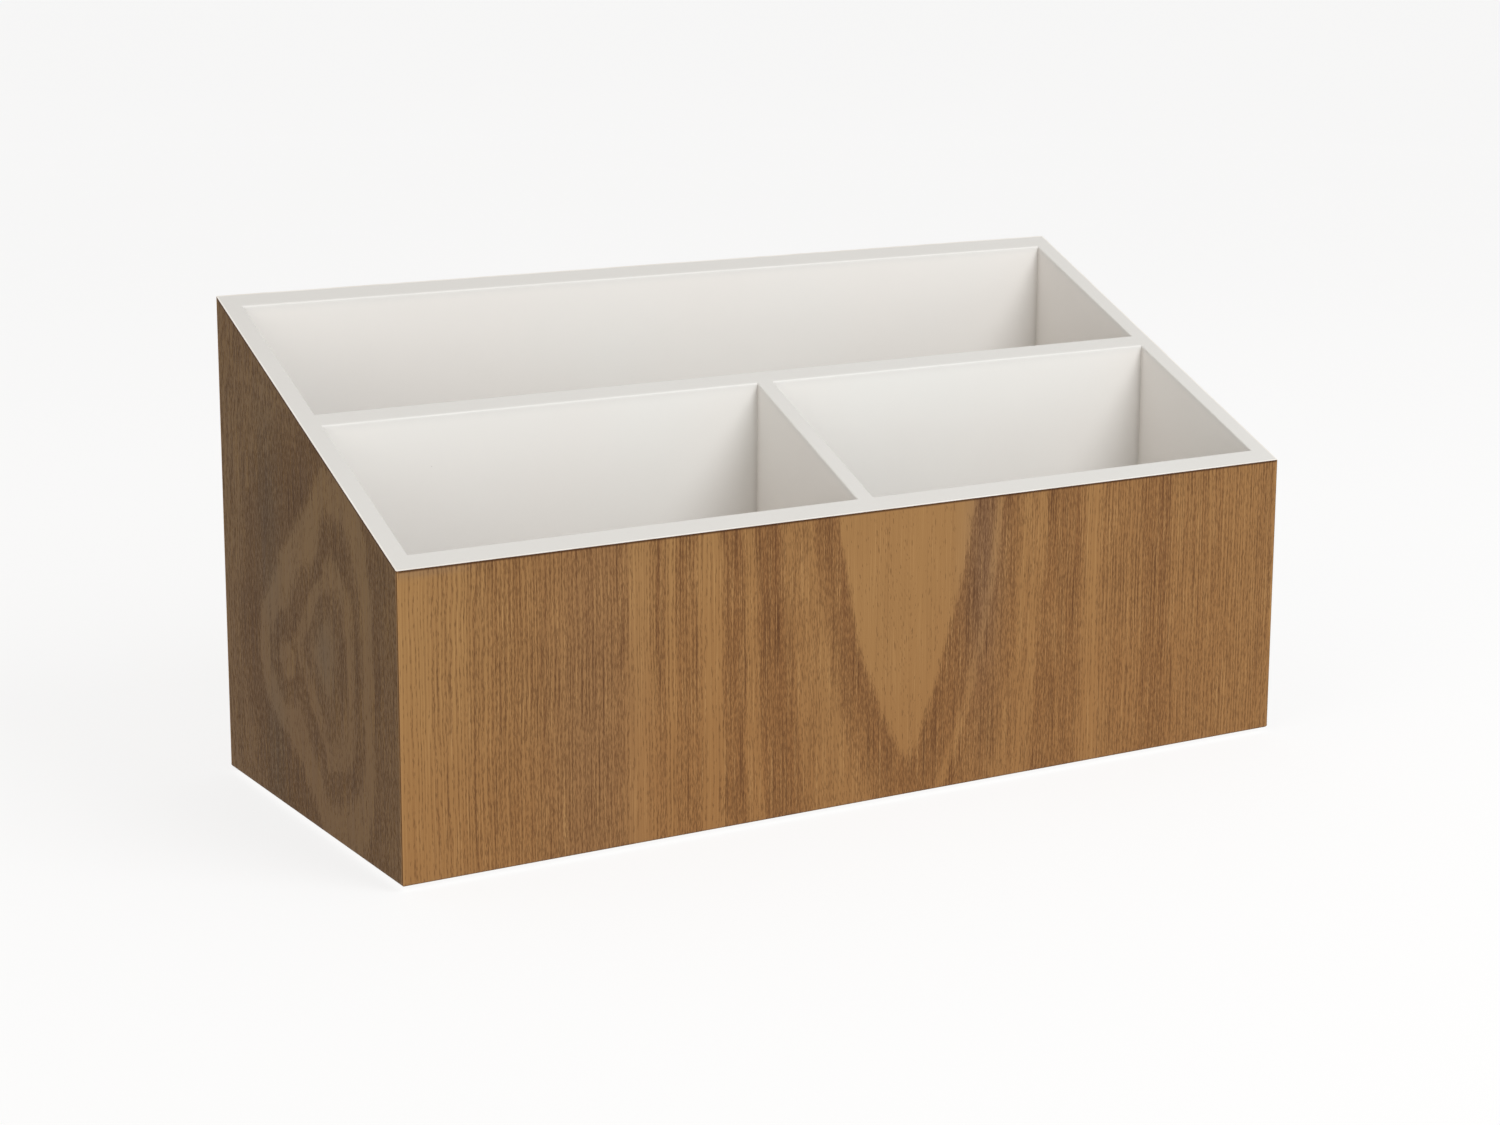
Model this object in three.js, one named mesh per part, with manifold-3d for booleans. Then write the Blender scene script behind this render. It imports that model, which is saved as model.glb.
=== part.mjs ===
// Desk organiser: a mitred box of veneered board whose top is cut on one slope, falling from the back to the
// front. A long divider parts off a full-width rear compartment, and a short one parts the front row in two.
// Millimetres. X runs to the right as seen from the front, Y from front to back, and Z up.
// The origin is on the desk, under the middle of the box.

import * as THREE from "three";
import { mergeVertices } from "three/addons/utils/BufferGeometryUtils.js";
import Module from "manifold-3d";

const wasm = await Module();
wasm.setup();

// The box, outside, over the veneers. Both heights are from the box's underside, which stands on the pads.
const WIDTH = 300;
const DEPTH = 126;
const FRONT_HEIGHT = 87;
const BACK_HEIGHT = 144;

// Boards and veneer.
const PANEL_THICKNESS = 5.5;
const VENEER_THICKNESS = 0.5;
const LONG_DIVIDER_THICKNESS = 5.5;
const SHORT_DIVIDER_THICKNESS = 5.5;
const BASE_THICKNESS = 4;

// Where the dividers stand: the clear depth of the front row, and the short divider's distance off the middle.
const FRONT_ROW_DEPTH = 56;
const SHORT_DIVIDER_OFFSET = 0;

// Joints: how deep a housing is cut for a divider, how far the base's rebate is cut into each wall, and the
// room left for glue on each face of a fit.
const HOUSING_DEPTH = 2;
const REBATE_WIDTH = 2.75;
const GLUE_GAP = 0.1;

// Softened outer edges: the four upright corners, within the veneer, and the edges all round the underside.
const CORNER_RADIUS = 0.4;
const UNDERSIDE_RADIUS = 1;
const ARC_SEGMENTS = 6;

// Felt pads under the base. A pad's centre is this far in from the box's two nearest outer faces.
const PAD_DIAMETER = 12;
const PAD_THICKNESS = 1.5;
const PAD_INSET = 16;
const PAD_SEGMENTS = 48;

// Worked out from the sizes above.
const WALL = PANEL_THICKNESS + VENEER_THICKNESS;
const LEFT = -WIDTH / 2;
const RIGHT = WIDTH / 2;
const FRONT = -DEPTH / 2;
const BACK = DEPTH / 2;
const UNDERSIDE = PAD_THICKNESS;
const FLOOR = UNDERSIDE + BASE_THICKNESS;
const LONG_DIVIDER_FRONT = FRONT + WALL + FRONT_ROW_DEPTH;
const LONG_DIVIDER_BACK = LONG_DIVIDER_FRONT + LONG_DIVIDER_THICKNESS;
const SHORT_DIVIDER_LEFT = SHORT_DIVIDER_OFFSET - SHORT_DIVIDER_THICKNESS / 2;
const SHORT_DIVIDER_RIGHT = SHORT_DIVIDER_OFFSET + SHORT_DIVIDER_THICKNESS / 2;

// How far a cutting or trimming solid runs past what it cuts, and the heights that such solids run between.
const OVERRUN = 5;
const BELOW = UNDERSIDE - OVERRUN;
const ABOVE = UNDERSIDE + Math.max(FRONT_HEIGHT, BACK_HEIGHT) + OVERRUN;

const QUARTER_TURN = Math.PI / 2;
const X = new THREE.Vector3(1, 0, 0);
const Y = new THREE.Vector3(0, 1, 0);
const Z = new THREE.Vector3(0, 0, 1);

// --- Between three.js geometry and solids that can be cut ---------------------------------------------

function solidOf(geometry) {
  geometry.deleteAttribute("normal");
  geometry.deleteAttribute("uv");
  const merged = mergeVertices(geometry);
  const vertProperties = merged.attributes.position.array;
  const triVerts = new Uint32Array(merged.index.array);
  return new wasm.Manifold(new wasm.Mesh({ numProp: 3, vertProperties, triVerts }));
}

function geometryOf(solid) {
  const { vertProperties, triVerts } = solid.getMesh();
  const shared = new THREE.BufferGeometry();
  shared.setAttribute("position", new THREE.BufferAttribute(vertProperties, 3));
  shared.setIndex(new THREE.BufferAttribute(triVerts, 1));
  const faceted = shared.toNonIndexed();
  faceted.computeVertexNormals();
  return faceted;
}

function block(left, right, front, back, bottom, top) {
  const geometry = new THREE.BoxGeometry(right - left, back - front, top - bottom);
  geometry.translate((left + right) / 2, (front + back) / 2, (bottom + top) / 2);
  return solidOf(geometry);
}

// An outline drawn on two of the box's axes, and extruded this far each way along the third.
function extrusion(outline, across, up, reach) {
  const geometry = new THREE.ExtrudeGeometry(outline, {
    depth: 2 * reach,
    bevelEnabled: false,
    curveSegments: ARC_SEGMENTS,
  });
  const along = new THREE.Vector3().crossVectors(across, up);
  geometry.translate(0, 0, -reach);
  geometry.applyMatrix4(new THREE.Matrix4().makeBasis(across, up, along));
  return solidOf(geometry);
}

// --- The box's outer form -----------------------------------------------------------------------------

// The slope runs straight from the front's outer top edge to the back's.
function slopeHeight(y) {
  return UNDERSIDE + FRONT_HEIGHT + ((BACK_HEIGHT - FRONT_HEIGHT) * (y - FRONT)) / DEPTH;
}

// The box's plan, with its upright corners rounded.
function planOutline() {
  const x = RIGHT - CORNER_RADIUS;
  const y = BACK - CORNER_RADIUS;
  const outline = new THREE.Shape();
  outline.absarc(x, y, CORNER_RADIUS, 0, QUARTER_TURN);
  outline.absarc(-x, y, CORNER_RADIUS, QUARTER_TURN, 2 * QUARTER_TURN);
  outline.absarc(-x, -y, CORNER_RADIUS, 2 * QUARTER_TURN, 3 * QUARTER_TURN);
  outline.absarc(x, -y, CORNER_RADIUS, 3 * QUARTER_TURN, 4 * QUARTER_TURN);
  return outline;
}

// An upright outline between two edges of given heights, with its two lower corners rounded.
function elevation(low, lowTop, high, highTop) {
  const centre = UNDERSIDE + UNDERSIDE_RADIUS;
  const outline = new THREE.Shape();
  outline.moveTo(high, highTop);
  outline.lineTo(low, lowTop);
  outline.absarc(low + UNDERSIDE_RADIUS, centre, UNDERSIDE_RADIUS, 2 * QUARTER_TURN, 3 * QUARTER_TURN);
  outline.absarc(high - UNDERSIDE_RADIUS, centre, UNDERSIDE_RADIUS, 3 * QUARTER_TURN, 4 * QUARTER_TURN);
  outline.closePath();
  return outline;
}

// The box's outer form as one solid. Every board and leaf is trimmed to it.
function makeEnvelope() {
  const fromAbove = extrusion(planOutline(), X, Y, ABOVE);
  const side = elevation(FRONT, slopeHeight(FRONT), BACK, slopeHeight(BACK));
  const fromRight = extrusion(side, Y, Z, RIGHT + OVERRUN);
  const front = elevation(LEFT, ABOVE, RIGHT, ABOVE);
  const fromFront = extrusion(front, X, Z, BACK + OVERRUN);
  return fromAbove.intersect(fromRight).intersect(fromFront);
}

const envelope = makeEnvelope();

// --- The boards' joints -------------------------------------------------------------------------------

// The room that the base takes, let into all four walls from below.
const baseRebate = block(
  LEFT + WALL - REBATE_WIDTH,
  RIGHT - WALL + REBATE_WIDTH,
  FRONT + WALL - REBATE_WIDTH,
  BACK - WALL + REBATE_WIDTH,
  BELOW,
  FLOOR,
);

// The slot that the long divider stands in, which runs into both side walls.
const longHousing = block(
  LEFT + WALL - HOUSING_DEPTH,
  RIGHT - WALL + HOUSING_DEPTH,
  LONG_DIVIDER_FRONT - GLUE_GAP,
  LONG_DIVIDER_BACK + GLUE_GAP,
  FLOOR,
  ABOVE,
);

// The slot that the short divider stands in, which runs into the front wall and the long divider.
const shortHousing = block(
  SHORT_DIVIDER_LEFT - GLUE_GAP,
  SHORT_DIVIDER_RIGHT + GLUE_GAP,
  FRONT + WALL - HOUSING_DEPTH,
  LONG_DIVIDER_FRONT + HOUSING_DEPTH,
  FLOOR,
  ABOVE,
);

// --- Walls: four mitred boards, each with a veneer leaf on its outer face -----------------------------

const OUTWARDS = { front: [0, -1], back: [0, 1], left: [-1, 0], right: [1, 0] };

// What one wall takes of a ring round the box: all that lies between the mitres at its two ends. It is moved
// outwards to part the mitres by the glue gap.
function mitredRoom([outX, outY]) {
  const corner = (end, offset) =>
    new THREE.Vector2((outX || end) * (RIGHT + offset), (outY || end) * (BACK + offset));
  const outer = [corner(-1, OVERRUN), corner(1, OVERRUN)];
  const inner = [corner(1, -2 * WALL), corner(-1, -2 * WALL)];
  const room = extrusion(new THREE.Shape([...outer, ...inner]), X, Y, ABOVE);
  const shift = GLUE_GAP / Math.SQRT2;
  return room.translate([outX * shift, outY * shift, 0]);
}

// All the room inside the veneers.
const core = block(
  LEFT + VENEER_THICKNESS,
  RIGHT - VENEER_THICKNESS,
  FRONT + VENEER_THICKNESS,
  BACK - VENEER_THICKNESS,
  BELOW,
  ABOVE,
);

function makeBoards() {
  const cavity = block(LEFT + WALL, RIGHT - WALL, FRONT + WALL, BACK - WALL, BELOW, ABOVE);
  const boards = core.intersect(envelope).subtract(cavity);
  return boards.subtract(baseRebate).subtract(longHousing).subtract(shortHousing);
}

function makeSkin() {
  return envelope.subtract(core);
}

// --- Base and dividers --------------------------------------------------------------------------------

function makeBase() {
  const inset = WALL - REBATE_WIDTH + GLUE_GAP;
  return block(LEFT + inset, RIGHT - inset, FRONT + inset, BACK - inset, UNDERSIDE, FLOOR);
}

function makeLongDivider() {
  const inset = WALL - HOUSING_DEPTH + GLUE_GAP;
  const board = block(LEFT + inset, RIGHT - inset, LONG_DIVIDER_FRONT, LONG_DIVIDER_BACK, FLOOR, ABOVE);
  return board.intersect(envelope).subtract(shortHousing);
}

function makeShortDivider() {
  const frontEnd = FRONT + WALL - HOUSING_DEPTH + GLUE_GAP;
  const backEnd = LONG_DIVIDER_FRONT + HOUSING_DEPTH - GLUE_GAP;
  const board = block(SHORT_DIVIDER_LEFT, SHORT_DIVIDER_RIGHT, frontEnd, backEnd, FLOOR, ABOVE);
  return board.intersect(envelope);
}

// --- Assembly -----------------------------------------------------------------------------------------

const LACQUER = { color: 0xe2e0db, roughness: 0.5, metalness: 0 };
const VENEER = { color: 0x9b7448, roughness: 0.55, metalness: 0 };
const FELT = { color: 0x77716a, roughness: 1, metalness: 0 };

const organiser = new THREE.Group();

function addPiece(name, geometry, finish) {
  const piece = new THREE.Mesh(geometry, new THREE.MeshStandardMaterial(finish));
  piece.name = name;
  organiser.add(piece);
  return piece;
}

const boards = makeBoards();
const skin = makeSkin();
for (const [side, outwards] of Object.entries(OUTWARDS)) {
  const room = mitredRoom(outwards);
  addPiece(`${side}_panel`, geometryOf(boards.intersect(room)), LACQUER);
  addPiece(`${side}_veneer`, geometryOf(skin.intersect(room)), VENEER);
}

addPiece("base_panel", geometryOf(makeBase()), LACQUER);
addPiece("long_divider", geometryOf(makeLongDivider()), LACQUER);
addPiece("short_divider", geometryOf(makeShortDivider()), LACQUER);

for (const [end, y] of [["front", FRONT + PAD_INSET], ["back", BACK - PAD_INSET]]) {
  for (const [side, x] of [["left", LEFT + PAD_INSET], ["right", RIGHT - PAD_INSET]]) {
    const disc = new THREE.CylinderGeometry(PAD_DIAMETER / 2, PAD_DIAMETER / 2, PAD_THICKNESS, PAD_SEGMENTS);
    const pad = addPiece(`pad_${end}_${side}`, disc, FELT);
    pad.rotation.x = QUARTER_TURN;
    pad.position.set(x, y, PAD_THICKNESS / 2);
  }
}

export default organiser;
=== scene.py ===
# Desk organiser: a sloped, wood-veneered box with one long rear compartment and two front ones.
# Metres. X runs to the right as seen from the low front wall, Y from front to back, and Z up.

from math import radians

import bpy
from mathutils import Euler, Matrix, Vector


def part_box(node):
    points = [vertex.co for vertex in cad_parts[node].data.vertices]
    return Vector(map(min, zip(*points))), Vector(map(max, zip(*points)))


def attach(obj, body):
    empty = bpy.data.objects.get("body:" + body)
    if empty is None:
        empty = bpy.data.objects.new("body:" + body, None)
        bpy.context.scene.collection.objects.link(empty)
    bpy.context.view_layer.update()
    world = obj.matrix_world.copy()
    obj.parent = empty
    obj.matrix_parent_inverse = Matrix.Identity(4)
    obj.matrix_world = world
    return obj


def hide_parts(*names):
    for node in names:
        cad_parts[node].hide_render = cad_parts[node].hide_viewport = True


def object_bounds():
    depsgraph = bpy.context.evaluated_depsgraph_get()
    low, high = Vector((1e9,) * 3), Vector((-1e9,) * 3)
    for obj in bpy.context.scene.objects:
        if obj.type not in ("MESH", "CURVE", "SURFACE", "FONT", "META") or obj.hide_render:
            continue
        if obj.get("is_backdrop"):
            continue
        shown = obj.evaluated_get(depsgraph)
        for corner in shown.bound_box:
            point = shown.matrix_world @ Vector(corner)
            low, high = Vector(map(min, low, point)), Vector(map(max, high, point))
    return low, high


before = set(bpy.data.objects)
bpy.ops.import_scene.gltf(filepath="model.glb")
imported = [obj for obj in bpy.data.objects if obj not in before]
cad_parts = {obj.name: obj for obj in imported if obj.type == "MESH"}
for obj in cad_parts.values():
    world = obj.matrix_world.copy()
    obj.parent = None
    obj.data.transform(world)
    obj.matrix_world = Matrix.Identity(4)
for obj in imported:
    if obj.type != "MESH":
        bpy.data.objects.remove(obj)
cad_low, cad_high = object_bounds()

# ======================================================================================================
# Wall boards. Four boards of 5.5 mm MDF, mitred at the corners and glued into one box, which is then cut
# on the slope. Each is rebated below for the base and housed for the dividers. They are sprayed with
# white satin lacquer, inside and over the rim.
# ======================================================================================================

MM = 0.001
TOUCH = 0.01 * MM
FINEST = 0.0005 * MM
CORNER_RADIUS = 0.4 * MM
UNDERSIDE_RADIUS = 1.0 * MM
RIM_RADIUS = 0.5 * MM
RIM_STEPS = 4
SPARE = 5 * MM
CORNER_STEPS = 6
SAME_DIRECTION = 0.999
FLAT_ANGLE = radians(35)

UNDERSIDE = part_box("front_panel")[0].z
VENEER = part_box("front_panel")[0].y - cad_low.y
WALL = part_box("front_panel")[1].y - cad_low.y
SLOPE = (cad_high.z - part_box("front_panel")[1].z) / (cad_high.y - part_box("front_panel")[1].y)
SLOPE_NORMAL = Vector((0, -SLOPE, 1)).normalized()
SLOPE_POINT = Vector((0, cad_high.y, cad_high.z))
HALF = Vector((cad_high.x, cad_high.y, 0))
OUTWARDS = {"front": (0, -1), "back": (0, 1), "left": (-1, 0), "right": (1, 0)}


def choose(piece):
    """Makes piece the one selected, active object."""
    bpy.ops.object.select_all(action="DESELECT")
    piece.select_set(True)
    bpy.context.view_layer.objects.active = piece


def block(name, low, high):
    """A sawn block between two corners."""
    bpy.ops.object.select_all(action="DESELECT")
    bpy.ops.mesh.primitive_cube_add(size=1, location=(low + high) / 2, scale=high - low)
    piece = bpy.context.object
    piece.name = name
    bpy.ops.object.transform_apply(location=True, rotation=True, scale=True)
    return piece


def copy_of(source, name):
    piece = source.copy()
    piece.data = source.data.copy()
    piece.name = name
    bpy.context.collection.objects.link(piece)
    return piece


def saw(piece, point, normal):
    """Cuts piece on a plane, drops the side that the normal points to, and closes the cut."""
    choose(piece)
    bpy.ops.object.mode_set(mode="EDIT")
    bpy.ops.mesh.select_all(action="SELECT")
    bpy.ops.mesh.bisect(
        plane_co=point, plane_no=normal, use_fill=True, clear_outer=True, threshold=FINEST
    )
    bpy.ops.object.mode_set(mode="OBJECT")


def let_in(piece, low, high):
    """Cuts a rebate or a housing: takes the block between two corners out of piece."""
    cutter = block("cutter", low, high)
    choose(piece)
    cut = piece.modifiers.new("let in", "BOOLEAN")
    cut.operation = "DIFFERENCE"
    cut.solver = "EXACT"
    cut.object = cutter
    bpy.ops.object.modifier_apply(modifier=cut.name)
    bpy.data.objects.remove(cutter)


def round_over(piece, radius, steps, wanted, along=None):
    """Rounds edges with both ends where wanted(point) is true, and that lie along a direction if given."""
    choose(piece)
    bpy.ops.object.mode_set(mode="EDIT")
    bpy.ops.mesh.select_mode(type="EDGE")
    bpy.ops.mesh.select_all(action="DESELECT")
    bpy.ops.object.mode_set(mode="OBJECT")
    points = piece.data.vertices
    for edge in piece.data.edges:
        first, last = (points[end].co for end in edge.vertices)
        aligned = along is None or abs((last - first).normalized().dot(along)) > SAME_DIRECTION
        edge.select = aligned and wanted(first) and wanted(last)
    bpy.ops.object.mode_set(mode="EDIT")
    bpy.ops.mesh.bevel(offset=radius, segments=steps, affect="EDGES", clamp_overlap=True)
    bpy.ops.object.mode_set(mode="OBJECT")


def finish_mesh(piece):
    """Smooths the rounded edges and keeps the flats flat."""
    choose(piece)
    bpy.ops.object.mode_set(mode="EDIT")
    bpy.ops.mesh.select_all(action="SELECT")
    bpy.ops.mesh.remove_doubles(threshold=FINEST)
    bpy.ops.mesh.normals_make_consistent(inside=False)
    bpy.ops.object.mode_set(mode="OBJECT")
    bpy.ops.object.shade_smooth_by_angle(angle=FLAT_ANGLE)
    flats = piece.modifiers.new("flats", "WEIGHTED_NORMAL")
    flats.keep_sharp = True
    bpy.ops.object.modifier_apply(modifier=flats.name)


def near(value, target):
    return abs(value - target) < TOUCH


def on_slope(point):
    return near((point - SLOPE_POINT).dot(SLOPE_NORMAL), 0)


def put(tree, socket, value):
    """Gives a socket a plain value, or joins another node's output to it."""
    if isinstance(value, bpy.types.NodeSocket):
        tree.links.new(value, socket)
    else:
        socket.default_value = value


def reckon(tree, operation, *values, clamp=False):
    """Sums on numbers, such as ADD or MULTIPLY."""
    node = tree.nodes.new("ShaderNodeMath")
    node.operation = operation
    node.use_clamp = clamp
    for socket, value in zip(node.inputs, values):
        put(tree, socket, value)
    return node.outputs[0]


def spread(tree, value, low, high, to_low=0.0, to_high=1.0, kind="SMOOTHSTEP"):
    """Moves value from one range to another, and stops at its ends."""
    node = tree.nodes.new("ShaderNodeMapRange")
    node.interpolation_type = kind
    for socket, number in zip(node.inputs, (value, low, high, to_low, to_high)):
        put(tree, socket, number)
    return node.outputs[0]


def noise(tree, place, scale, detail=2.0, stretch=(1, 1, 1), shift=(0, 0, 0), distortion=0.0):
    mapping = tree.nodes.new("ShaderNodeMapping")
    mapping.inputs["Scale"].default_value = stretch
    mapping.inputs["Location"].default_value = shift
    tree.links.new(place, mapping.inputs["Vector"])
    node = tree.nodes.new("ShaderNodeTexNoise")
    node.inputs["Scale"].default_value = scale
    node.inputs["Detail"].default_value = detail
    node.inputs["Distortion"].default_value = distortion
    tree.links.new(mapping.outputs[0], node.inputs["Vector"])
    return node.outputs["Fac"]


def tint(tree, factor, first, second, kind="MIX"):
    """Mixes two colours."""
    node = tree.nodes.new("ShaderNodeMix")
    node.data_type = "RGBA"
    node.blend_type = kind
    node.clamp_factor = True
    put(tree, node.inputs[0], factor)
    put(tree, node.inputs[6], first)
    put(tree, node.inputs[7], second)
    return node.outputs[2]


def bumps(tree, shader, height, strength, depth):
    node = tree.nodes.new("ShaderNodeBump")
    node.inputs["Strength"].default_value = strength
    node.inputs["Distance"].default_value = depth
    tree.links.new(height, node.inputs["Height"])
    tree.links.new(node.outputs[0], shader.inputs["Normal"])


def new_finish(name):
    """A material, its node tree, its shader and the place of each point on the object."""
    material = bpy.data.materials.new(name)
    material.use_nodes = True
    tree = material.node_tree
    shader = tree.nodes["Principled BSDF"]
    place = tree.nodes.new("ShaderNodeTexCoord").outputs["Object"]
    return material, tree, shader, place


LACQUER_WARM = (0.800, 0.778, 0.748, 1)
LACQUER_COOL = (0.797, 0.795, 0.770, 1)
LACQUER_DEEP_PAINTED_LIGHT = (0.885, 0.862, 0.832, 1)
LACQUER_RIM_SHADE = (0.735, 0.728, 0.705, 1)
RIM_AT_MIDDLE = cad_high.z - SLOPE * cad_high.y
LACQUER_DUST_AND_SHADE = (0.50, 0.475, 0.43, 1)
LACQUER_SPECK = (0.16, 0.13, 0.10, 1)
CORNER_DEPTH = 3 * MM
DEEP = 70 * MM
RIM_SHADE_DEPTH = 3 * MM
PEEL_SCALE = 620
FIBRE_SCALE = 2400
HANDLING_SCALE = 34
SPECK_SCALE = 75
PEEL_DEPTH = 0.03 * MM


def white_lacquer():
    """Satin lacquer: an orange peel over MDF fibre, an uneven sheen from handling, painted shade on the
    rim and in the corners (with some dust there), painted light lower down, a few specks.
    """
    material, tree, shader, place = new_finish("white satin lacquer")
    peel = noise(tree, place, PEEL_SCALE, 2)
    fibre = noise(tree, place, FIBRE_SCALE, 2)
    handled = noise(tree, place, HANDLING_SCALE, 3)
    colour = tint(tree, spread(tree, noise(tree, place, 9), 0.35, 0.65), LACQUER_WARM, LACQUER_COOL)
    where = tree.nodes.new("ShaderNodeSeparateXYZ")
    tree.links.new(place, where.inputs[0])
    rim_height = reckon(tree, "ADD", reckon(tree, "MULTIPLY", where.outputs[1], SLOPE), RIM_AT_MIDDLE)
    depth = reckon(tree, "SUBTRACT", rim_height, where.outputs[2])
    # Painted light: the lacquer turns lighter and warmer deeper below the rim, against the shade down in
    # the compartments.
    colour = tint(tree, spread(tree, depth, 1 * MM, DEEP, 0.0, 1.0, "LINEAR"), colour, LACQUER_DEEP_PAINTED_LIGHT)
    # Painted shade: the rim and the first few millimetres below it are darker, toning down the rim where
    # the key light falls on it.
    colour = tint(tree, spread(tree, depth, 0.0, RIM_SHADE_DEPTH, 0.75, 0.0), colour, LACQUER_RIM_SHADE)
    # Painted shade in the inner corners, read from ambient occlusion, which also stands for dust gathered
    # there.
    corner = tree.nodes.new("ShaderNodeAmbientOcclusion")
    corner.samples = 8
    corner.inputs["Distance"].default_value = CORNER_DEPTH
    dust_and_shade = spread(tree, corner.outputs["AO"], 0.35, 0.95, 0.42, 0.0)
    colour = tint(tree, dust_and_shade, colour, LACQUER_DUST_AND_SHADE)
    cells = tree.nodes.new("ShaderNodeTexVoronoi")
    cells.inputs["Scale"].default_value = SPECK_SCALE
    tree.links.new(place, cells.inputs["Vector"])
    speck = spread(tree, cells.outputs["Distance"], 0.012, 0.02, 0.75, 0.0)
    colour = tint(tree, speck, colour, LACQUER_SPECK)
    tree.links.new(colour, shader.inputs["Base Color"])
    tree.links.new(spread(tree, handled, 0.3, 0.7, 0.38, 0.52), shader.inputs["Roughness"])
    shader.inputs["Specular IOR Level"].default_value = 0.42
    relief = reckon(tree, "ADD", peel, reckon(tree, "MULTIPLY", fibre, 0.25))
    bumps(tree, shader, relief, 0.35, PEEL_DEPTH)
    return material


LACQUER = white_lacquer()

# The whole box as one rounded, sloped block. Every wall board and every veneer leaf is sawn from a copy.
blank = block(
    "blank",
    Vector((cad_low.x, cad_low.y, UNDERSIDE)),
    Vector((cad_high.x, cad_high.y, cad_high.z + SPARE)),
)
round_over(blank, UNDERSIDE_RADIUS, CORNER_STEPS, lambda point: near(point.z, UNDERSIDE))
round_over(
    blank,
    CORNER_RADIUS,
    CORNER_STEPS,
    lambda point: near(abs(point.x), HALF.x) and near(abs(point.y), HALF.y),
)
saw(blank, SLOPE_POINT, SLOPE_NORMAL)


def mitred_wall(name, side):
    """One wall's share of the blank, sawn off at the mitres."""
    out = Vector((*OUTWARDS[side], 0))
    along = Vector((out.y, out.x, 0))
    piece = copy_of(blank, name)
    for end in (-along, along):
        corner = out + end
        saw(piece, Vector((corner.x * HALF.x, corner.y * HALF.y, 0)), end - out)
    return piece, out


def face_of_wall(out, inset):
    """A point on the plane this far in from a wall's outer face."""
    return Vector((out.x * (HALF.x - inset), out.y * (HALF.y - inset), 0))


base_low, base_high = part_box("base_panel")
long_low, long_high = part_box("long_divider")
short_low, short_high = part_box("short_divider")

for side in OUTWARDS:
    board, out = mitred_wall(f"{side}_board", side)
    saw(board, face_of_wall(out, VENEER), out)
    saw(board, face_of_wall(out, WALL), -out)
    let_in(board, base_low - Vector((0, 0, SPARE)), base_high)
    if out.x:
        let_in(board, long_low, long_high + Vector((0, 0, SPARE)))
    if side == "front":
        let_in(board, short_low, Vector((short_high.x, short_high.y, cad_high.z)))
    inner = face_of_wall(out, WALL)
    round_over(
        board,
        RIM_RADIUS,
        RIM_STEPS,
        lambda point: on_slope(point) and near((point - inner).dot(out), 0),
    )
    finish_mesh(board)
    board.data.materials.append(LACQUER)
    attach(board, "root")
    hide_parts(f"{side}_panel")

# ======================================================================================================
# Base board. One 4 mm MDF board, glued up into the rebates of the four walls, and sprayed with the box.
# Its lower edges are eased where they show below.
# ======================================================================================================

BASE_EDGE = 0.3 * MM

base_board = block("base_board", base_low, base_high)
round_over(base_board, BASE_EDGE, 2, lambda point: near(point.z, base_low.z))
finish_mesh(base_board)
base_board.data.materials.append(LACQUER)
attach(base_board, "root")
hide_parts("base_panel")

# ======================================================================================================
# Dividers. Bare 5.5 mm MDF boards let into housings and glued: the long one into both side walls, the
# short one into the front wall and the long divider. Their tops are cut on the slope with the box, then
# sprayed, so that they run flush into the rim.
# ======================================================================================================

INNER_X = HALF.x - WALL
INNER_FRONT = cad_low.y + WALL
RUN_IN = RIM_RADIUS / 2


def add_tongue(piece, low, high):
    """Joins a square tongue, cut on the slope, to the end of a divider."""
    tongue = block("tongue", low, high)
    saw(tongue, SLOPE_POINT, SLOPE_NORMAL)
    choose(piece)
    joint = piece.modifiers.new("tongue", "BOOLEAN")
    joint.operation = "UNION"
    joint.solver = "EXACT"
    joint.object = tongue
    bpy.ops.object.modifier_apply(modifier=joint.name)
    bpy.data.objects.remove(tongue)


long_end = INNER_X + RUN_IN
long_board = block(
    "long_partition",
    Vector((-long_end, long_low.y, long_low.z)),
    Vector((long_end, long_high.y, cad_high.z)),
)
let_in(long_board, short_low, Vector((short_high.x, short_high.y, cad_high.z + SPARE)))
saw(long_board, SLOPE_POINT, SLOPE_NORMAL)
round_over(
    long_board,
    RIM_RADIUS,
    RIM_STEPS,
    lambda point: on_slope(point) and (near(point.y, long_low.y) or near(point.y, long_high.y)),
    along=Vector((1, 0, 0)),
)
joint_end = long_end - TOUCH
add_tongue(long_board, long_low, Vector((-joint_end, long_high.y, cad_high.z)))
add_tongue(
    long_board,
    Vector((joint_end, long_low.y, long_low.z)),
    Vector((long_high.x, long_high.y, cad_high.z)),
)

short_front = INNER_FRONT - RUN_IN
short_back = long_low.y + RUN_IN
short_board = block(
    "short_partition",
    Vector((short_low.x, short_front, short_low.z)),
    Vector((short_high.x, short_back, cad_high.z)),
)
saw(short_board, SLOPE_POINT, SLOPE_NORMAL)
round_over(
    short_board,
    RIM_RADIUS,
    RIM_STEPS,
    lambda point: on_slope(point),
    along=Vector((0, 1, SLOPE)).normalized(),
)
add_tongue(short_board, short_low, Vector((short_high.x, short_front + TOUCH, cad_high.z)))
add_tongue(
    short_board,
    Vector((short_low.x, short_back - TOUCH, short_low.z)),
    Vector((short_high.x, short_high.y, cad_high.z)),
)

for board, node in ((long_board, "long_divider"), (short_board, "short_divider")):
    finish_mesh(board)
    board.data.materials.append(LACQUER)
    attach(board, "root")
    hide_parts(node)

# ======================================================================================================
# Veneer leaves. One 0.5 mm leaf of open-pored wood on each outer face, grain upright, mitred at the
# corners, stained golden brown and oiled matt. The rim's white lacquer runs over their top edges.
# ======================================================================================================

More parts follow.
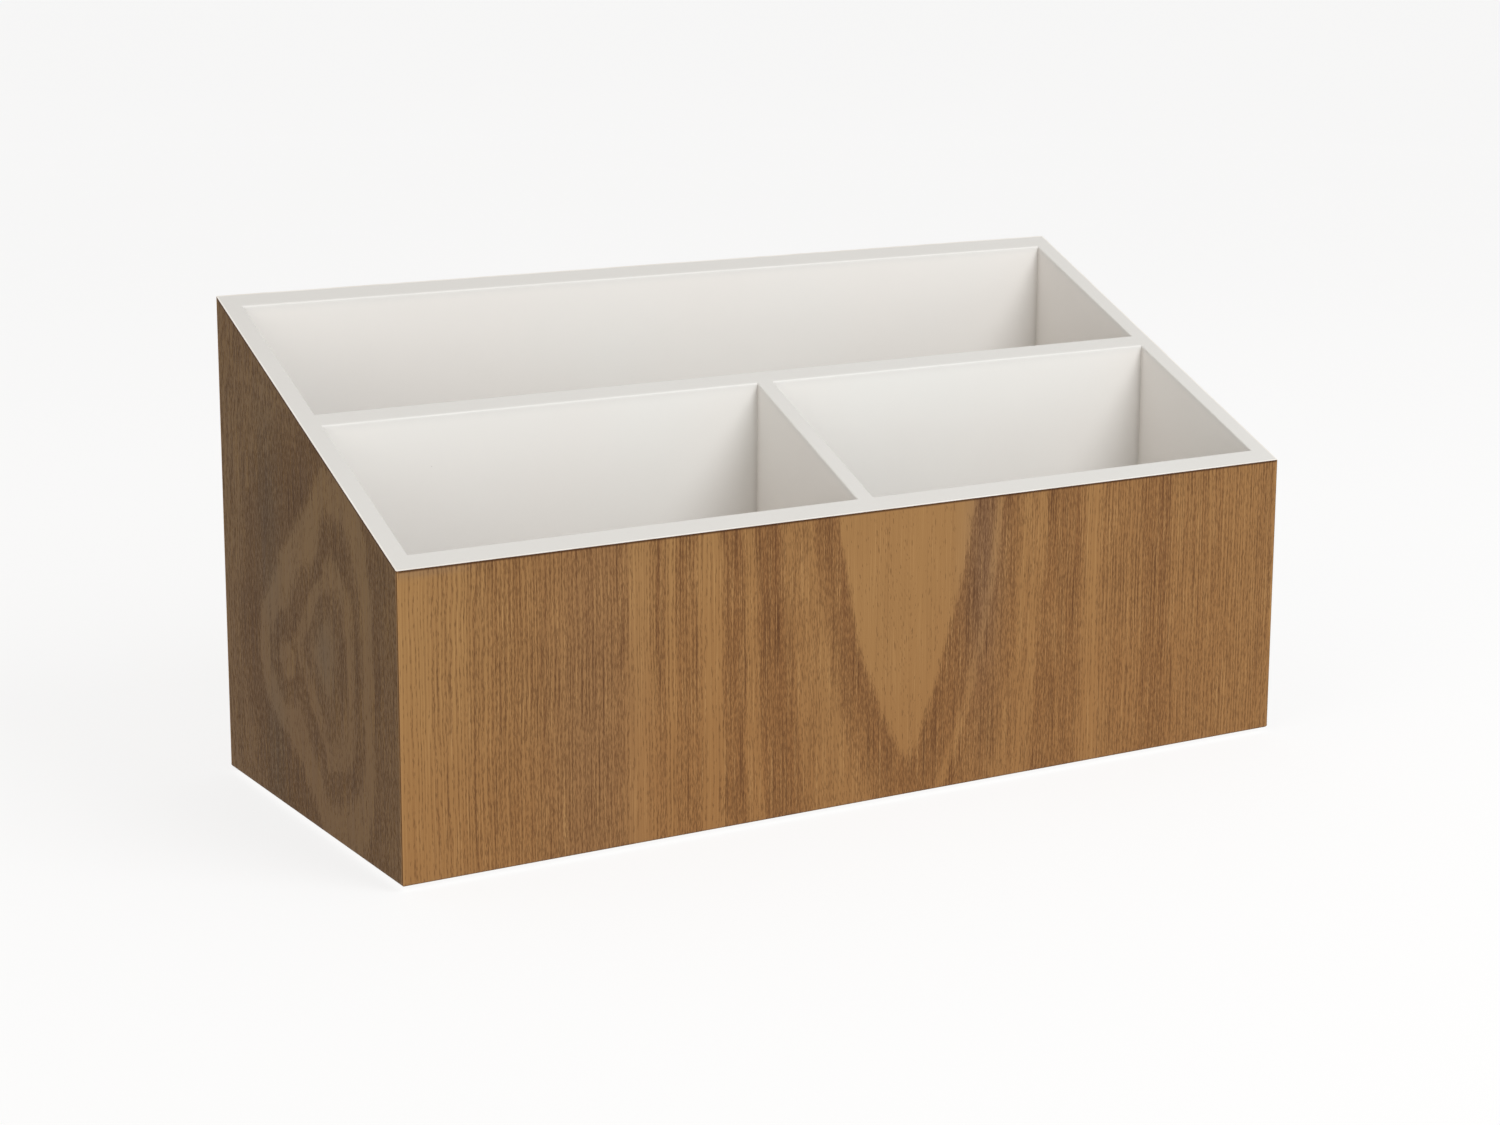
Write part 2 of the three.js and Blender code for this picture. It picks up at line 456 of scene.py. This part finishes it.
LEAF_EDGE = 0.15 * MM
PER_MM = 1000
GOLD = (0.272, 0.146, 0.053, 1)
BROWN = (0.160, 0.069, 0.025, 1)
REDDISH = (0.235, 0.108, 0.036, 1)
GREYED = (0.160, 0.107, 0.070, 1)
PORE = (0.056, 0.021, 0.009, 1)
PALE_FIBRE_AND_HIGHLIGHT = (0.38, 0.215, 0.085, 1)
BAND_REACH = 160
FULL_TURN = radians(360)
FEATHER = 6.5
KNOT_BLEND = 4.0
PORE_SIZES = ((0.30, 3.4, 0.0), (0.22, 1.9, 41.0))
RIM_SHADOW = (0.35, 0.80)
MITRE_SEAM = (0.14, 0.24)
ARRIS_WEAR_AND_HIGHLIGHT = (0.4, 1.0)
GRAIN_DEPTH = 0.05 * MM


def dot_with(tree, place, direction):
    node = tree.nodes.new("ShaderNodeVectorMath")
    node.operation = "DOT_PRODUCT"
    put(tree, node.inputs[0], place)
    node.inputs[1].default_value = direction
    return node.outputs["Value"]


def bands(tree, distance, stops):
    """How open the wood is at a distance from the heart of the figure, from stops of (mm, openness)."""
    node = tree.nodes.new("ShaderNodeValToRGB")
    ramp = node.color_ramp
    ramp.elements[0].position = 0
    ramp.elements[1].position = 1
    for far, _ in stops[1:-1]:
        ramp.elements.new(far / BAND_REACH)
    for element, (far, open_wood) in zip(ramp.elements, stops):
        element.position = far / BAND_REACH
        element.color = (open_wood, open_wood, open_wood, 1)
    put(tree, node.inputs[0], reckon(tree, "DIVIDE", distance, BAND_REACH))
    return node.outputs[0]


def bell(tree, value, reach):
    """1 where value is 0, falling away smoothly over reach."""
    share = reckon(tree, "DIVIDE", value, reach)
    return reckon(tree, "EXPONENT", reckon(tree, "MULTIPLY", reckon(tree, "MULTIPLY", share, share), -1.0))


def spot(tree, across, height, centre, reach):
    """A soft spot on the leaf."""
    first = bell(tree, reckon(tree, "SUBTRACT", across, centre[0]), reach[0])
    second = bell(tree, reckon(tree, "SUBTRACT", height, centre[1]), reach[1])
    return reckon(tree, "MULTIPLY", first, second)


def veneer(side, figure):
    """Oiled veneer with a leaf's own figure. All lengths here are mm on the leaf, seen from outside."""
    material, tree, shader, place = new_finish(f"{side} veneer")
    out = Vector((*OUTWARDS[side], 0))
    rightwards = Vector((-out.y, out.x, 0))
    across = dot_with(tree, place, rightwards * PER_MM)
    height = reckon(tree, "SUBTRACT", dot_with(tree, place, (0, 0, PER_MM)), UNDERSIDE * PER_MM)
    joined = tree.nodes.new("ShaderNodeCombineXYZ")
    put(tree, joined.inputs[0], across)
    put(tree, joined.inputs[1], height)
    joined.inputs[2].default_value = figure["cut"]
    leaf = joined.outputs[0]

    # Distance from the heart of the figure: a V where the rings lean, an oval where the log bulged.
    aside = reckon(tree, "SUBTRACT", across, figure["heart"][0])
    above = reckon(tree, "SUBTRACT", height, figure["heart"][1])
    right_hand = reckon(tree, "GREATER_THAN", aside, 0.0)
    far = reckon(tree, "ABSOLUTE", aside)
    fullness = bell(tree, aside, figure["reach"])
    widened = reckon(tree, "SUBTRACT", 1.0, reckon(tree, "EXPONENT", reckon(tree, "DIVIDE", far, -15.0)))
    widened = reckon(tree, "MULTIPLY", reckon(tree, "MULTIPLY", widened, right_hand), figure["widening"])
    far = reckon(tree, "ADD", far, widened)
    oval = reckon(tree, "MULTIPLY", reckon(tree, "MULTIPLY", above, figure["oval"]), fullness)
    roundness = spread(tree, right_hand, 0, 1, figure["roundness"][0], figure["roundness"][1], "LINEAR")
    far = reckon(tree, "MULTIPLY", far, spread(tree, right_hand, 0, 1, figure["squeeze"], 1.0, "LINEAR"))
    oval = reckon(tree, "POWER", reckon(tree, "ABSOLUTE", oval), roundness)
    ring = reckon(tree, "ADD", reckon(tree, "POWER", far, roundness), oval)
    ring = reckon(tree, "ADD", ring, figure["blunt"])
    ring = reckon(tree, "POWER", ring, reckon(tree, "DIVIDE", 1.0, roundness))
    lean = reckon(tree, "MULTIPLY", reckon(tree, "MULTIPLY", above, figure["lean"]), fullness)
    ring = reckon(tree, "SUBTRACT", ring, lean)
    for centre, reach, push in figure["bulges"]:
        push = reckon(tree, "MULTIPLY", spot(tree, across, height, centre, reach), push)
        ring = reckon(tree, "ADD", ring, push)
    for centre, start in figure["knots"]:
        beside = reckon(tree, "SUBTRACT", across, centre[0])
        over = reckon(tree, "SUBTRACT", height, centre[1])
        round_knot = reckon(tree, "MULTIPLY", beside, beside)
        round_knot = reckon(tree, "ADD", round_knot, reckon(tree, "MULTIPLY", over, over))
        round_knot = reckon(tree, "ADD", reckon(tree, "SQRT", round_knot), start)
        ring = reckon(tree, "SMOOTH_MIN", ring, round_knot, KNOT_BLEND)
    sway = noise(tree, leaf, 1, 2, (0.022, 0.012, 1))
    feather = noise(tree, leaf, 1, 3, (0.9, 0.035, 1), (7, 0, 0))
    sway = reckon(tree, "MULTIPLY", reckon(tree, "SUBTRACT", sway, 0.5), figure["sway"])
    ring = reckon(tree, "ADD", ring, sway)
    ripple = noise(tree, leaf, 1, 2, (0.05, 0.075, 1), (17, 3, 0))
    ripple = reckon(tree, "MULTIPLY", reckon(tree, "SUBTRACT", ripple, 0.5), figure["ripple"])
    calm = reckon(tree, "ADD", ring, ripple)
    feather = reckon(tree, "MULTIPLY", reckon(tree, "SUBTRACT", feather, 0.5), FEATHER)
    ring = reckon(tree, "ADD", calm, feather)
    ring = reckon(tree, "MAXIMUM", ring, 0.0)
    left_bands = bands(tree, ring, figure["left"])
    right_bands = bands(tree, ring, figure["right"])
    openness = tint(tree, right_hand, left_bands, right_bands)

    # Narrow rings stand side by side away from the heart, a little over a millimetre apart.
    uneven = reckon(tree, "MULTIPLY", noise(tree, leaf, 1, 2, (0.16, 0.004, 1)), 4.0)
    count = reckon(tree, "ADD", reckon(tree, "DIVIDE", calm, figure["pitch"]), uneven)
    wave = reckon(tree, "SINE", reckon(tree, "MULTIPLY", count, FULL_TURN))
    narrow = reckon(tree, "MULTIPLY", wave, spread(tree, ring, 30, 74, 0.05, figure["lines"]))
    streak = noise(tree, leaf, 1, 3, (0.42, 0.006, 1), (3, 0, 0))
    streak = reckon(tree, "MULTIPLY", reckon(tree, "SUBTRACT", streak, 0.5), 0.7)
    smooth_wood = spread(tree, openness, 0.05, 0.35, 0.50, 1.0)
    uneven = reckon(tree, "MULTIPLY", reckon(tree, "ADD", narrow, streak), smooth_wood)
    openness = reckon(tree, "ADD", openness, uneven, clamp=True)

    # Pores: short fine grooves along the grain, crowded where the wood is open, and long dark streaks.
    crowd = spread(tree, openness, 0.12, 0.85, 0.0, 0.85, "LINEAR")
    pores = None
    for width, length, shift in PORE_SIZES:
        mapping = tree.nodes.new("ShaderNodeMapping")
        mapping.inputs["Scale"].default_value = (1 / width, 1 / length, 1)
        mapping.inputs["Location"].default_value = (shift + figure["cut"], shift, 0)
        tree.links.new(leaf, mapping.inputs["Vector"])
        cells = tree.nodes.new("ShaderNodeTexVoronoi")
        cells.voronoi_dimensions = "2D"
        cells.inputs["Scale"].default_value = 1
        tree.links.new(mapping.outputs[0], cells.inputs["Vector"])
        chance = tree.nodes.new("ShaderNodeSeparateColor")
        tree.links.new(cells.outputs["Color"], chance.inputs[0])
        cut = reckon(tree, "LESS_THAN", chance.outputs[0], crowd)
        groove = reckon(tree, "MULTIPLY", spread(tree, cells.outputs["Distance"], 0.16, 0.46, 1, 0), cut)
        pores = groove if pores is None else reckon(tree, "MAXIMUM", pores, groove)
    thread = noise(tree, leaf, 1, 2, (2.3, 0.028, 1), (23, 0, 0))
    thread = reckon(tree, "MULTIPLY", spread(tree, thread, 0.50, 0.66), openness)

    # Colour: golden late wood, browner open wood, slow drifts over the leaf and fine light fibres.
    fibre = noise(tree, leaf, 1, 3, (3.4, 0.035, 1), (11, 0, 0))
    drift = noise(tree, leaf, 1, 1, (0.012, 0.006, 1), (5, 9, 0))
    colour = tint(tree, reckon(tree, "MULTIPLY", openness, figure["contrast"]), GOLD, BROWN)
    colour = tint(tree, spread(tree, drift, 0.40, 0.62, 0.0, 0.35), colour, REDDISH)
    colour = tint(tree, spread(tree, above, 40, -20, 0.0, 0.45), colour, REDDISH)
    # A grey veil: partly greyer wood, and on the left and right leaves partly a painted sheen of reflected
    # sky.
    colour = tint(tree, figure["grey"], colour, GREYED)
    for centre, reach, share in figure["greyed"]:
        patch = reckon(tree, "MULTIPLY", spot(tree, across, height, centre, reach), share)
        colour = tint(tree, patch, colour, GREYED)
    light_fibre = reckon(tree, "MULTIPLY", spread(tree, fibre, 0.52, 0.72, 0.0, 0.55), smooth_wood)
    colour = tint(tree, light_fibre, colour, PALE_FIBRE_AND_HIGHLIGHT)
    colour = tint(tree, reckon(tree, "MULTIPLY", thread, 0.64), colour, PORE)
    colour = tint(tree, reckon(tree, "MULTIPLY", pores, 0.52), colour, PORE)
    # The stain sets each leaf's depth of colour; the left leaf's darker stain is painted shade for the
    # side turned from the key light.
    colour = tint(tree, 1.0, colour, figure["stain_and_shade"], "MULTIPLY")

    # Edges: the rim's painted shadow line, a painted highlight on the lightly rubbed arris with the
    # mitre's dark seam, and a darker lower edge.
    below_rim = dot_with(tree, place, SLOPE_NORMAL * -PER_MM)
    below_rim = reckon(tree, "ADD", below_rim, SLOPE_POINT.dot(SLOPE_NORMAL) * PER_MM)
    colour = tint(tree, spread(tree, below_rim, *RIM_SHADOW, 0.85, 0.0), colour, PORE)
    half_width = abs(rightwards.dot(HALF)) * PER_MM
    from_end = reckon(tree, "SUBTRACT", half_width, reckon(tree, "ABSOLUTE", across))
    # Painted highlight along the vertical arris, standing also for light wear there.
    colour = tint(tree, spread(tree, from_end, *ARRIS_WEAR_AND_HIGHLIGHT, 0.35, 0.0), colour, PALE_FIBRE_AND_HIGHLIGHT)
    colour = tint(tree, spread(tree, from_end, *MITRE_SEAM, 0.8, 0.0), colour, PORE)
    colour = tint(tree, spread(tree, height, 0.1, 0.8, 0.45, 0.0), colour, PORE)
    tree.links.new(colour, shader.inputs["Base Color"])

    dry = spread(tree, fibre, 0.3, 0.7, 0.46, 0.58)
    dry = reckon(tree, "ADD", reckon(tree, "MULTIPLY", pores, 0.22), dry)
    tree.links.new(dry, shader.inputs["Roughness"])
    shader.inputs["Specular IOR Level"].default_value = 0.08
    relief = reckon(tree, "SUBTRACT", reckon(tree, "MULTIPLY", fibre, 0.35), pores)
    bumps(tree, shader, relief, 0.55, GRAIN_DEPTH)
    return material


EDGE_HIGHLIGHT_THIN = (0.86, 0.83, 0.78, 1)
EDGE_HIGHLIGHT_THICK = (0.93, 0.91, 0.87, 1)


def highlighted_lacquered_edge():
    """Lacquer where it runs over a leaf's sawn edge: thicker and glossier than on the rim, and painted
    brighter as a highlight along the arris.
    """
    material, tree, shader, place = new_finish("lacquered edge highlight")
    pooled = noise(tree, place, 90, 3)
    # Painted highlight: brighter than the rim's lacquer, for the bright line along the outer arris.
    colour = tint(tree, spread(tree, pooled, 0.35, 0.65), EDGE_HIGHLIGHT_THIN, EDGE_HIGHLIGHT_THICK)
    tree.links.new(colour, shader.inputs["Base Color"])
    tree.links.new(spread(tree, pooled, 0.3, 0.7, 0.30, 0.42), shader.inputs["Roughness"])
    bumps(tree, shader, noise(tree, place, PEEL_SCALE, 2), 0.3, PEEL_DEPTH)
    return material


EDGE_LACQUER_HIGHLIGHT = highlighted_lacquered_edge()

# The front leaf opens upwards in a V, right of its middle.
FRONT_FIGURE = {
    "heart": (12.5, 27),
    "cut": 2.0,
    "lean": 0.50,
    "oval": 0.0,
    "roundness": (2.0, 2.0),
    "squeeze": 1.0,
    "blunt": 1.5,
    "reach": 33,
    "widening": 8,
    "sway": 3.0,
    "ripple": 1.2,
    "pitch": 1.2,
    "lines": 0.22,
    "contrast": 0.85,
    "grey": 0.0,
    "stain_and_shade": (1.17, 1.19, 1.20, 1),
    "bulges": [],
    "knots": [],
    "left": [
        (0, 0.16), (8, 0.14), (11, 0.88), (16, 0.85), (22, 0.62), (26, 0.32), (38, 0.38),
        (42, 0.90), (50, 0.78), (52, 0.30), (55, 0.34), (57, 0.85), (62, 0.72), (64, 0.16),
        (69, 0.20), (72, 0.66), (77, 0.60), (79, 0.22), (83, 0.62), (88, 0.16), (92, 0.20),
        (95, 0.62), (120, 0.58), (140, 0.42), (154, 0.20), (160, 0.16),
    ],
    "right": [
        (0, 0.16), (8.5, 0.14), (12, 0.88), (20, 0.85), (24, 0.75), (26, 0.30), (28, 0.34),
        (30, 0.95), (34, 0.70), (41, 0.60), (43, 0.34), (47, 0.46), (49, 0.28), (52, 0.32),
        (54, 0.85), (61, 0.66), (67, 0.78), (71, 0.28), (75, 0.15), (79, 0.50), (92, 0.56),
        (95, 0.80), (102, 0.74), (106, 0.50), (160, 0.46),
    ],
    "greyed": [((-92, 40), (16, 90), 0.16), ((38, 70), (7, 40), 0.35), ((-141, 86), (14, 1.5), 0.35)],
}

# The left leaf was cut where the log bulged: rings round a smooth eye, drawn out behind to a small knot.
LEFT_FIGURE = {
    "heart": (13, 52),
    "cut": 31.0,
    "lean": 0.0,
    "oval": 0.62,
    "roundness": (1.0, 2.0),
    "squeeze": 0.78,
    "blunt": 1.0,
    "reach": 46,
    "widening": 0,
    "sway": 4.0,
    "ripple": 5.0,
    "pitch": 1.9,
    "lines": 0.26,
    "contrast": 0.62,
    # The grey veil is partly a painted sheen, and the darker stain below is painted shade.
    "grey": 0.34,
    "stain_and_shade": (0.68, 0.70, 0.61, 1),
    "bulges": [((6, 96), (14, 16), 1.5), ((34, 26), (12, 10), -3.0), ((8, 80), (14, 8), 3.5)],
    "knots": [((-15, 45), 13.0)],
    "left": [
        (0, 0.20), (6, 0.24), (8, 0.60), (13, 0.72), (14.5, 0.26), (18, 0.28), (20, 0.88),
        (25, 0.70), (28, 0.20), (34, 0.20), (36.5, 1.0), (46, 0.92), (51, 0.50), (160, 0.46),
    ],
    "right": [
        (0, 0.20), (6, 0.24), (8, 0.60), (13, 0.72), (16, 0.26), (20, 0.28), (21.5, 0.88),
        (25, 0.70), (27.5, 0.20), (33, 0.22), (35, 0.80), (42, 0.62), (160, 0.50),
    ],
    "greyed": [((-27, 84), (9, 34), 0.50), ((-25, 16), (7, 22), 0.50), ((13, 52), (7, 12), 0.50)],
}

# The back and right leaves come from the same log, each with a figure of its own.
BACK_FIGURE = {
    **FRONT_FIGURE,
    "heart": (-34, 60),
    "cut": 57.0,
    "lean": 0.36,
    "reach": 44,
    "widening": 5,
    "greyed": [((70, 60), (20, 120), 0.30)],
}
RIGHT_FIGURE = {
    **LEFT_FIGURE,
    "heart": (-11, 66),
    "cut": 83.0,
    "oval": 0.42,
    "grey": 0.20,
    "stain_and_shade": (1.0, 1.0, 1.0, 1),
    "bulges": [((18, 60), (12, 14), -4.0)],
    "roundness": (1.9, 1.6),
    "knots": [],
    "greyed": [((26, 80), (10, 70), 0.35)],
}
FIGURES = {"front": FRONT_FIGURE, "back": BACK_FIGURE, "left": LEFT_FIGURE, "right": RIGHT_FIGURE}

for side, figure in FIGURES.items():
    leaf_piece, out = mitred_wall(f"{side}_leaf", side)
    saw(leaf_piece, face_of_wall(out, VENEER), -out)
    outer = face_of_wall(out, 0)
    round_over(
        leaf_piece,
        LEAF_EDGE,
        2,
        lambda point: on_slope(point) and near((point - outer).dot(out), 0),
    )
    finish_mesh(leaf_piece)
    leaf_piece.data.materials.append(veneer(side, figure))
    leaf_piece.data.materials.append(EDGE_LACQUER_HIGHLIGHT)
    for face in leaf_piece.data.polygons:
        top = abs((face.center - SLOPE_POINT).dot(SLOPE_NORMAL)) < LEAF_EDGE
        face.material_index = 1 if top and face.normal.z > 0.3 else 0
    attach(leaf_piece, "root")
    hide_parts(f"{side}_veneer")

bpy.data.objects.remove(blank)

# ======================================================================================================
# Felt pads. Four discs of pressed grey felt, self-adhesive, stuck under the base near its corners. The
# lower edge of each is rounded from the punch.
# ======================================================================================================

PAD_ROUNDING = 0.5 * MM
PAD_SIDES = 64
NAP_DEPTH = 0.15 * MM
FELT_DARK = (0.10, 0.09, 0.08, 1)
FELT_LIGHT = (0.26, 0.235, 0.21, 1)


def felt():
    material, tree, shader, place = new_finish("grey felt")
    wool = noise(tree, place, 1500, 4, (1, 1, 2.5), (0, 0, 0), 1.2)
    clumps = noise(tree, place, 420, 3)
    worn = reckon(tree, "MULTIPLY", reckon(tree, "ADD", wool, clumps), 0.5)
    colour = tint(tree, spread(tree, worn, 0.36, 0.64), FELT_DARK, FELT_LIGHT)
    tree.links.new(colour, shader.inputs["Base Color"])
    shader.inputs["Roughness"].default_value = 0.95
    shader.inputs["Specular IOR Level"].default_value = 0.15
    shader.inputs["Sheen Weight"].default_value = 0.35
    bumps(tree, shader, worn, 0.8, NAP_DEPTH)
    return material


FELT = felt()
for end in ("front", "back"):
    for side in ("left", "right"):
        node = f"pad_{end}_{side}"
        low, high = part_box(node)
        bpy.ops.object.select_all(action="DESELECT")
        bpy.ops.mesh.primitive_cylinder_add(
            vertices=PAD_SIDES,
            radius=(high.x - low.x) / 2,
            depth=high.z - low.z,
            location=(low + high) / 2,
        )
        pad = bpy.context.object
        pad.name = f"felt_{end}_{side}"
        bpy.ops.object.transform_apply(location=True, rotation=True, scale=True)
        round_over(pad, PAD_ROUNDING, 4, lambda point: near(point.z, low.z))
        finish_mesh(pad)
        pad.data.materials.append(FELT)
        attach(pad, "root")
        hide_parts(node)

# ======================================================================================================
# Studio. A pale, faintly lit floor that curves up all round at a distance, one large soft light from the
# front right and above, a weak warm one from the left, and an even pale sky.
# ======================================================================================================

FLOOR_RADIUS = 2.2
FLOOR_CURVE = 1.2
FLOOR_SIDES = 96
FLOOR_STEPS = 8
FLOOR_FLARE = 0.10
FLOOR_COLOUR = (0.20, 0.20, 0.20, 1)
FLOOR_LIGHTER = (0.21, 0.21, 0.21, 1)
FLOOR_GLOW = 0.80
SKY_COLOUR = (1.0, 0.965, 0.925, 1)
SKY_STRENGTH = 0.42
KEY_DIRECTION = Vector((0.36, -0.72, 0.60)).normalized()
KEY_DISTANCE = 1.6
KEY_SIZE = 1.1
KEY_POWER = 13.5
KEY_COLOUR = (0.975, 0.99, 1.0)
FILL_DIRECTION = Vector((-0.84, -0.30, 0.45)).normalized()
FILL_POWER = 4.3
FILL_COLOUR = (1.0, 0.91, 0.82)

bpy.ops.object.select_all(action="DESELECT")
bpy.ops.mesh.primitive_circle_add(vertices=FLOOR_SIDES, radius=FLOOR_RADIUS, fill_type="NGON")
floor = bpy.context.object
floor.name = "studio_floor"
bpy.ops.object.mode_set(mode="EDIT")
bpy.ops.mesh.select_mode(type="EDGE")
bpy.ops.mesh.select_all(action="SELECT")
bpy.ops.mesh.region_to_loop()
for step in range(FLOOR_STEPS):
    rise = FLOOR_CURVE * (step + 1) / sum(range(FLOOR_STEPS + 1))
    bpy.ops.mesh.extrude_edges_move(TRANSFORM_OT_translate={"value": (0, 0, rise)})
    grow = 1 + FLOOR_FLARE * (1 - step / FLOOR_STEPS)
    bpy.ops.transform.resize(value=(grow, grow, 1))
bpy.ops.object.mode_set(mode="OBJECT")
bpy.ops.object.shade_smooth_by_angle(angle=radians(60))
paper, tree, shader, place = new_finish("pale paper")
shade = noise(tree, place, 3, 2)
put(tree, shader.inputs["Base Color"], tint(tree, shade, FLOOR_COLOUR, FLOOR_LIGHTER))
shader.inputs["Roughness"].default_value = 0.9
shader.inputs["Specular IOR Level"].default_value = 0.1
shader.inputs["Emission Color"].default_value = (1, 1, 1, 1)
shader.inputs["Emission Strength"].default_value = FLOOR_GLOW
floor.data.materials.append(paper)
floor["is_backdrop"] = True

world = bpy.data.worlds.new("studio sky")
world.use_nodes = True
sky = world.node_tree.nodes["Background"]
sky.inputs["Color"].default_value = SKY_COLOUR
sky.inputs["Strength"].default_value = SKY_STRENGTH
bpy.context.scene.world = world
bpy.context.scene.view_settings.view_transform = "Standard"

for name, direction, power, shade in (
    ("key_light", KEY_DIRECTION, KEY_POWER, KEY_COLOUR),
    ("fill_light", FILL_DIRECTION, FILL_POWER, FILL_COLOUR),
):
    bpy.ops.object.light_add(type="AREA", location=direction * KEY_DISTANCE)
    light = bpy.context.object
    light.name = name
    light.rotation_euler = direction.to_track_quat("Z", "Y").to_euler()
    light.data.shape = "DISK"
    light.data.size = KEY_SIZE
    light.data.energy = power
    light.data.color = shade

# ======================================================================================================
# Camera. A little above the rim, in front and to the left, with a long lens.
# ======================================================================================================

CAMERA_PLACE = Vector((-0.4536, -0.7518, 0.2679))
CAMERA_TURN = radians(-30.843)
CAMERA_TILT = radians(78.646)
CAMERA_ROLL = radians(0.207)
LENS = 70.455
SENSOR = 36
FRAMING_SHIFT = -0.0667

bpy.ops.object.camera_add(location=CAMERA_PLACE)
camera = bpy.context.object
camera.name = "camera"
turned = Euler((0, 0, CAMERA_TURN)).to_matrix() @ Euler((CAMERA_TILT, 0, 0)).to_matrix()
camera.rotation_euler = (turned @ Euler((0, 0, CAMERA_ROLL)).to_matrix()).to_euler()
camera.data.sensor_width = SENSOR
camera.data.lens = LENS
camera.data.shift_y = FRAMING_SHIFT
bpy.context.scene.camera = camera

low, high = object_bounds()
